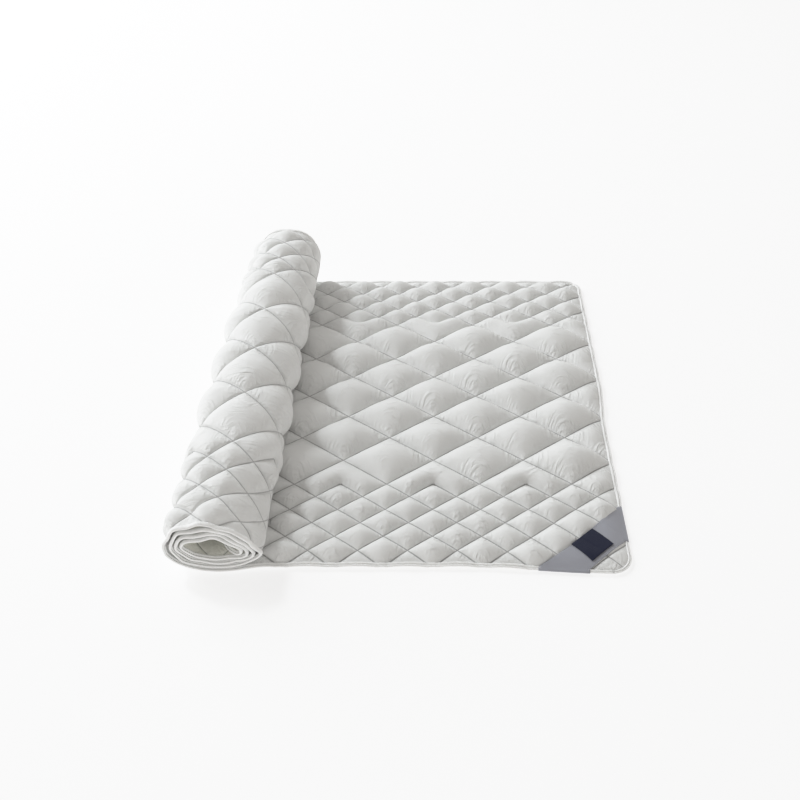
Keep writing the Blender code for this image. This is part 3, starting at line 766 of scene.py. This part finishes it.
def unevenness(tree, vector, scale, detail):
    """Plain noise over a vector."""
    return node(tree, "ShaderNodeTexNoise", {"Vector": vector, "Scale": scale, "Detail": detail}).outputs[0]


def raise_relief(tree, shader, height):
    """Bump the surface by a height in metres."""
    bump = node(tree, "ShaderNodeBump", {"Strength": 1.0, "Distance": 1.0, "Height": height})
    tree.links.new(bump.outputs[0], shader.inputs["Normal"])


def fabric(name, colour, roughness, sheen):
    """A Principled material and its tree, shader and the two numbers of its UV map."""
    material = bpy.data.materials.new(name)
    material.use_nodes = True
    tree = material.node_tree
    shader = tree.nodes["Principled BSDF"]
    shader.inputs["Base Color"].default_value = (*colour, 1)
    shader.inputs["Roughness"].default_value = roughness
    shader.inputs["Specular IOR Level"].default_value = 0.25
    shader.inputs["Sheen Weight"].default_value = sheen
    shader.inputs["Sheen Roughness"].default_value = 0.5
    uv = node(tree, "ShaderNodeUVMap", uv_map="UVMap").outputs[0]
    split = node(tree, "ShaderNodeSeparateXYZ", {0: uv})
    return material, tree, shader, uv, split.outputs[0], split.outputs[1]


def soft_range(tree, value, low, high, at_low=0.0, at_high=1.0):
    """Map a value softly from one range to another, as a socket."""
    return node(tree, "ShaderNodeMapRange", {"Value": value, "From Min": low, "From Max": high,
                                             "To Min": at_low, "To Max": at_high},
                interpolation_type="SMOOTHSTEP").outputs[0]


def cotton(name, rings, gathers, streaks, line):
    """Quilted cotton: sewn seams, puckers, weave and a faint unevenness of tone.

    The seams lie where the sum or the difference of the two lattice numbers is even. Three kinds of pucker
    are noise in stretched coordinates, each as deep as its argument: rings round the nearest crossing,
    gathers square to the nearest seam, and streaks that run along the sheet. All are patchy. The last
    argument is how much of the colour is left in the line of a seam, where the groove's shade is painted
    into the colour.
    """
    material, tree, shader, _, along, across = fabric(name, COTTON_WHITE, 0.75, 0.1)
    spot = node(tree, "ShaderNodeTexCoord").outputs["Object"]

    def noise(vector, scale, detail, w=0.0):
        return node(tree, "ShaderNodeTexNoise", {"Vector": vector, "Scale": scale, "Detail": detail, "W": w},
                    noise_dimensions="4D").outputs[0]

    def times(*values):
        return product(tree, *values)

    def less(one, two):
        return maths(tree, "SUBTRACT", one, two)

    def shared(value, by):
        return maths(tree, "DIVIDE", value, by)

    def between(value, *limits):
        return soft_range(tree, value, *limits)

    def join(*values):
        return node(tree, "ShaderNodeCombineXYZ", dict(enumerate(values))).outputs[0]

    # The lattice: scale is 1 on the large diamonds and 2 on the small ones in the borders.
    row = shared(across, ROW)
    from_middle = maths(tree, "ABSOLUTE", less(row, ROWS / 2))
    scale = added(tree, 1.0, maths(tree, "GREATER_THAN", from_middle, ROWS / 2 - BORDER_ROWS))
    p = times(along, 2 / DIAMOND, scale)
    q = times(less(row, BORDER_ROWS + 2.0), 0.5, scale)
    total, difference = added(tree, p, q), less(p, q)
    cell = shared(2 * ROW * math.cos(math.atan2(ROW, DIAMOND / 4)), scale)
    rising = times(maths(tree, "PINGPONG", total, 1.0), cell)
    falling = times(maths(tree, "PINGPONG", difference, 1.0), cell)
    seam = maths(tree, "MINIMUM", rising, falling)

    def past_crossing(value):
        """Signed distance from the nearest even number."""
        return less(value, times(maths(tree, "ROUND", times(value, 0.5)), 2.0))

    # Rings: noise of the distance from the nearest crossing, a little different to each side of it.
    t, d = past_crossing(total), past_crossing(difference)
    away_along = shared(times(added(tree, t, d), DIAMOND / 4), scale)
    away_across = shared(times(less(t, d), ROW), scale)
    away = join(away_along, times(away_across, 0.6))
    radius = node(tree, "ShaderNodeVectorMath", {0: away}, operation="LENGTH").outputs["Value"]
    facing = node(tree, "ShaderNodeVectorMath", {0: away}, operation="NORMALIZE").outputs[0]
    facing = node(tree, "ShaderNodeSeparateXYZ", {0: facing})
    place_number = added(tree, times(along, 9.0), times(across, 13.0))
    ring = noise(join(times(radius, 1 / RING_STEP), times(facing.outputs[0], 1.5),
                      times(facing.outputs[1], 1.5)), 1.0, 1.0, times(place_number, 1.5))
    near_crossing = times(between(radius, 0.003, 0.010),
                          between(times(radius, scale), 0.022, 0.062, 1.0, 0.0),
                          between(seam, 0.0008, 0.005),
                          between(noise(spot, 26.0, 0.0), 0.34, 0.60, 0.15, 1.0))
    height = times(between(ring, 0.35, 0.72), near_crossing, rings)

    # Gathers: noise of the run along a seam, close to both of its sides.
    seam_length = math.hypot(DIAMOND / 4, ROW)
    patches = between(noise(spot, 33.0, 0.0), 0.4, 0.65)
    for run, distance in ((difference, rising), (total, falling)):
        gather = noise(join(times(shared(run, scale), seam_length / GATHER_STEP), times(distance, 1 / 0.02)),
                       1.0, 0.5, place_number)
        close = times(between(distance, 0.0006, 0.003), between(distance, 0.004, 0.014, 1.0, 0.0))
        height = added(tree, height, times(gather, close, patches, gathers))

    # Streaks, then the stitched groove, its thread, a slow unevenness and the weave.
    lines = noise(join(times(along, 20.0), times(across, 1 / STREAK_STEP)), 1.0, 1.5)
    lines = times(lines, between(noise(spot, 24.0, 0.0), 0.38, 0.62, 0.15, 1.0),
                  between(seam, 0.001, 0.006), streaks)
    groove = between(seam, 0.0002, 0.0012)
    dash = maths(tree, "PINGPONG", shared(along, STITCH), 1.0)
    thread = times(less(1.0, groove), maths(tree, "GREATER_THAN", dash, 0.3))
    weave = product(tree, ribs(tree, along, THREAD), ribs(tree, across, THREAD))
    height = added(tree, height, lines, times(groove, 0.0008), times(thread, 0.0003),
                   times(noise(spot, 55.0, 3.0), 0.0009), times(weave, 0.00002))
    raise_relief(tree, shader, height)

    # The inner end of the sheet, seen in the roll's core, is tinted creamier: painted light, standing in for
    # the warm light bounced about inside the roll.
    tone = between(noise(spot, 9.0, 4.0), 0.3, 0.7, 0.975, 1.0)
    # Painted shade: the colour darkens in the line of each seam, where the sewn groove lies in shade.
    dark = between(seam, 0.0002, 0.0015, line, 1.0)
    painted_bounce_tint = node(tree, "ShaderNodeVectorMath",
                 {0: (0.03, 0.025, -0.025), "Scale": between(along, 1.21, 1.27)}, operation="SCALE")
    colour = node(tree, "ShaderNodeVectorMath", {0: COTTON_WHITE, 1: painted_bounce_tint.outputs[0]}, operation="ADD")
    colour = node(tree, "ShaderNodeVectorMath", {0: colour.outputs[0], "Scale": times(tone, dark)},
                  operation="SCALE")
    tree.links.new(colour.outputs[0], shader.inputs["Base Color"])
    return material


def tape():
    """White binding tape: a fine rib square to the edge and a soft unevenness."""
    material, tree, shader, uv, along, _ = fabric("white binding", (0.92, 0.92, 0.91), 0.65, 0.2)
    raise_relief(tree, shader, added(tree, product(tree, ribs(tree, along, 0.0024), 0.00012),
                                     product(tree, unevenness(tree, uv, 180.0, 2.0), 0.0008)))
    return material


def satin(width):
    """Grey satin: fine cross ribs, a stitched hem line on both edges and a slow unevenness, with a gloss."""
    material, tree, shader, uv, along, across = fabric("grey satin", (0.34, 0.345, 0.385), 0.38, 0.15)
    shader.inputs["Specular IOR Level"].default_value = 0.5
    from_edge = maths(tree, "PINGPONG", across, width / 2)
    hem = soft_range(tree, maths(tree, "ABSOLUTE", maths(tree, "SUBTRACT", from_edge, 0.0022)), 0.0, 0.0009)
    raise_relief(tree, shader, added(tree, product(tree, ribs(tree, along, 0.0008), 0.00002),
                                     product(tree, unevenness(tree, uv, 28.0, 2.0), 0.0016),
                                     product(tree, hem, 0.0004)))
    return material


def woven():
    """Dark woven label: diagonal twill threads and a sewn edge."""
    material, tree, shader, _, along, across = fabric("dark label", (0.010, 0.013, 0.036), 0.6, 0.08)
    inside = [maths(tree, "SUBTRACT", size / 2, maths(tree, "ABSOLUTE", value))
              for size, value in ((LABEL_WIDTH, along), (LABEL_LENGTH, across))]
    from_stitch = maths(tree, "ABSOLUTE", maths(tree, "SUBTRACT", maths(tree, "MINIMUM", *inside), 0.0014))
    twill = ribs(tree, added(tree, along, across), 0.0008)
    raise_relief(tree, shader, added(tree, product(tree, twill, 0.00004),
                                     product(tree, soft_range(tree, from_stitch, 0.0, 0.0006), 0.0002)))
    return material


# ---------------------------------------------------------------- the topper

top = cover("top_cover", "upper", 0.0, 0.666, TOP_CROWNS, (0.001, 0.001, 0.012), 3,
            cotton("quilted cotton, upper side", 0.0015, 0.0009, 0.0003, 0.54))
bottom = cover("bottom_cover", "lower", 0.672, 1.235, ROLL_CROWNS, (0.0, 0.006, 0.012), 5,
               cotton("quilted cotton, underside", 0.0012, 0.0010, 0.0025, 0.66))
binding = build_binding(tape())
band, band_flat = build_band()
label = build_label(woven())

for piece, replaced, slot in ((top, "topper_body", "quilted_cover"), (bottom, "topper_body", "quilted_cover"),
                              (binding, "edge_piping", "white_piping"), (band, "corner_band", "grey_satin"),
                              (label, "corner_label", "dark_label")):
    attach(piece, "root")
    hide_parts(replaced)

# ---------------------------------------------------------------- stage, light and camera

PHOTO_SIZE, FOCAL_LENGTH, TILT = 800, 931.9, 51       # pixels, pixels and degrees up from straight down
FLOOR_REACH, FLOOR_GREY, FLOOR_GLOW = 40, 0.60, 0.62
HORIZON, OVERHEAD = 0.95, 0.46                        # how bright the surroundings are

floor_mesh = bpy.data.meshes.new("floor")
corners = [(x * FLOOR_REACH, y * FLOOR_REACH, 0) for x, y in ((-1, -1), (1, -1), (1, 1), (-1, 1))]
floor_mesh.from_pydata(corners, [], [(0, 1, 2, 3)])
floor = bpy.data.objects.new("floor", floor_mesh)
bpy.context.scene.collection.objects.link(floor)
pale = bpy.data.materials.new("pale floor")
pale.use_nodes = True
for socket, value in (("Base Color", (FLOOR_GREY, FLOOR_GREY, FLOOR_GREY, 1)), ("Roughness", 0.9),
                      ("Emission Color", (1, 1, 1, 1)), ("Emission Strength", FLOOR_GLOW)):
    pale.node_tree.nodes["Principled BSDF"].inputs[socket].default_value = value
floor_mesh.materials.append(pale)

world = bpy.data.worlds.new("studio")
world.use_nodes = True
sky = world.node_tree
direction = node(sky, "ShaderNodeTexCoord").outputs["Generated"]
rise = node(sky, "ShaderNodeSeparateXYZ", {0: direction}).outputs[2]
sky.nodes["Background"].inputs["Color"].default_value = (1.0, 0.975, 0.94, 1)
sky.links.new(soft_range(sky, rise, 0.0, 0.4, HORIZON, OVERHEAD), sky.nodes["Background"].inputs["Strength"])
bpy.context.scene.world = world


def lamp(name, spot, target, size, power):
    """A soft square light at spot that faces target."""
    data = bpy.data.lights.new(name, "AREA")
    data.size = size
    data.energy = power
    data.color = (0.93, 0.97, 1.0)
    thing = bpy.data.objects.new(name, data)
    thing.location = spot
    aim = np.array(target) - np.array(spot)
    flat_run = math.hypot(aim[0], aim[1])
    thing.rotation_euler = (math.pi / 2 + math.atan2(aim[2], flat_run), 0,
                            math.atan2(aim[1], aim[0]) - math.pi / 2)
    thing.visible_camera = False
    bpy.context.scene.collection.objects.link(thing)


lamp("key", (-5.12, 3.75, 6.31), (0.0, 0.0, 0.0), 1.05, 196)
lamp("wide soft light", (-4.0, 2.65, 2.58), (0.0, 0.0, 0.1), 4.5, 223)

# A soft shoulder, as film has, keeps the detail on the bright side of the roll. The curve's places and
# values are shares of white, which lies at 1.5.
view = bpy.context.scene.view_settings
view.view_transform = "Standard"
view.use_curve_mapping = True
view.curve_mapping.white_level = (1.5, 1.5, 1.5)
response = view.curve_mapping.curves[3].points
for bright, shown in ((0.25, 0.375), (0.45, 0.675), (0.55, 0.80), (0.67, 0.90), (0.82, 0.965)):
    response.new(bright, shown)
view.curve_mapping.update()

camera_data = bpy.data.cameras.new("camera")
camera_data.sensor_width = 36
camera_data.lens = FOCAL_LENGTH / PHOTO_SIZE * 36
camera_data.shift_x = -0.05225
camera = bpy.data.objects.new("camera", camera_data)
camera.location = (FLAT_END_X - 0.3235, NEAR_Y - 1.0373, 1.2063)
camera.rotation_euler = (math.radians(TILT), 0, 0)
bpy.context.scene.collection.objects.link(camera)
bpy.context.scene.camera = camera
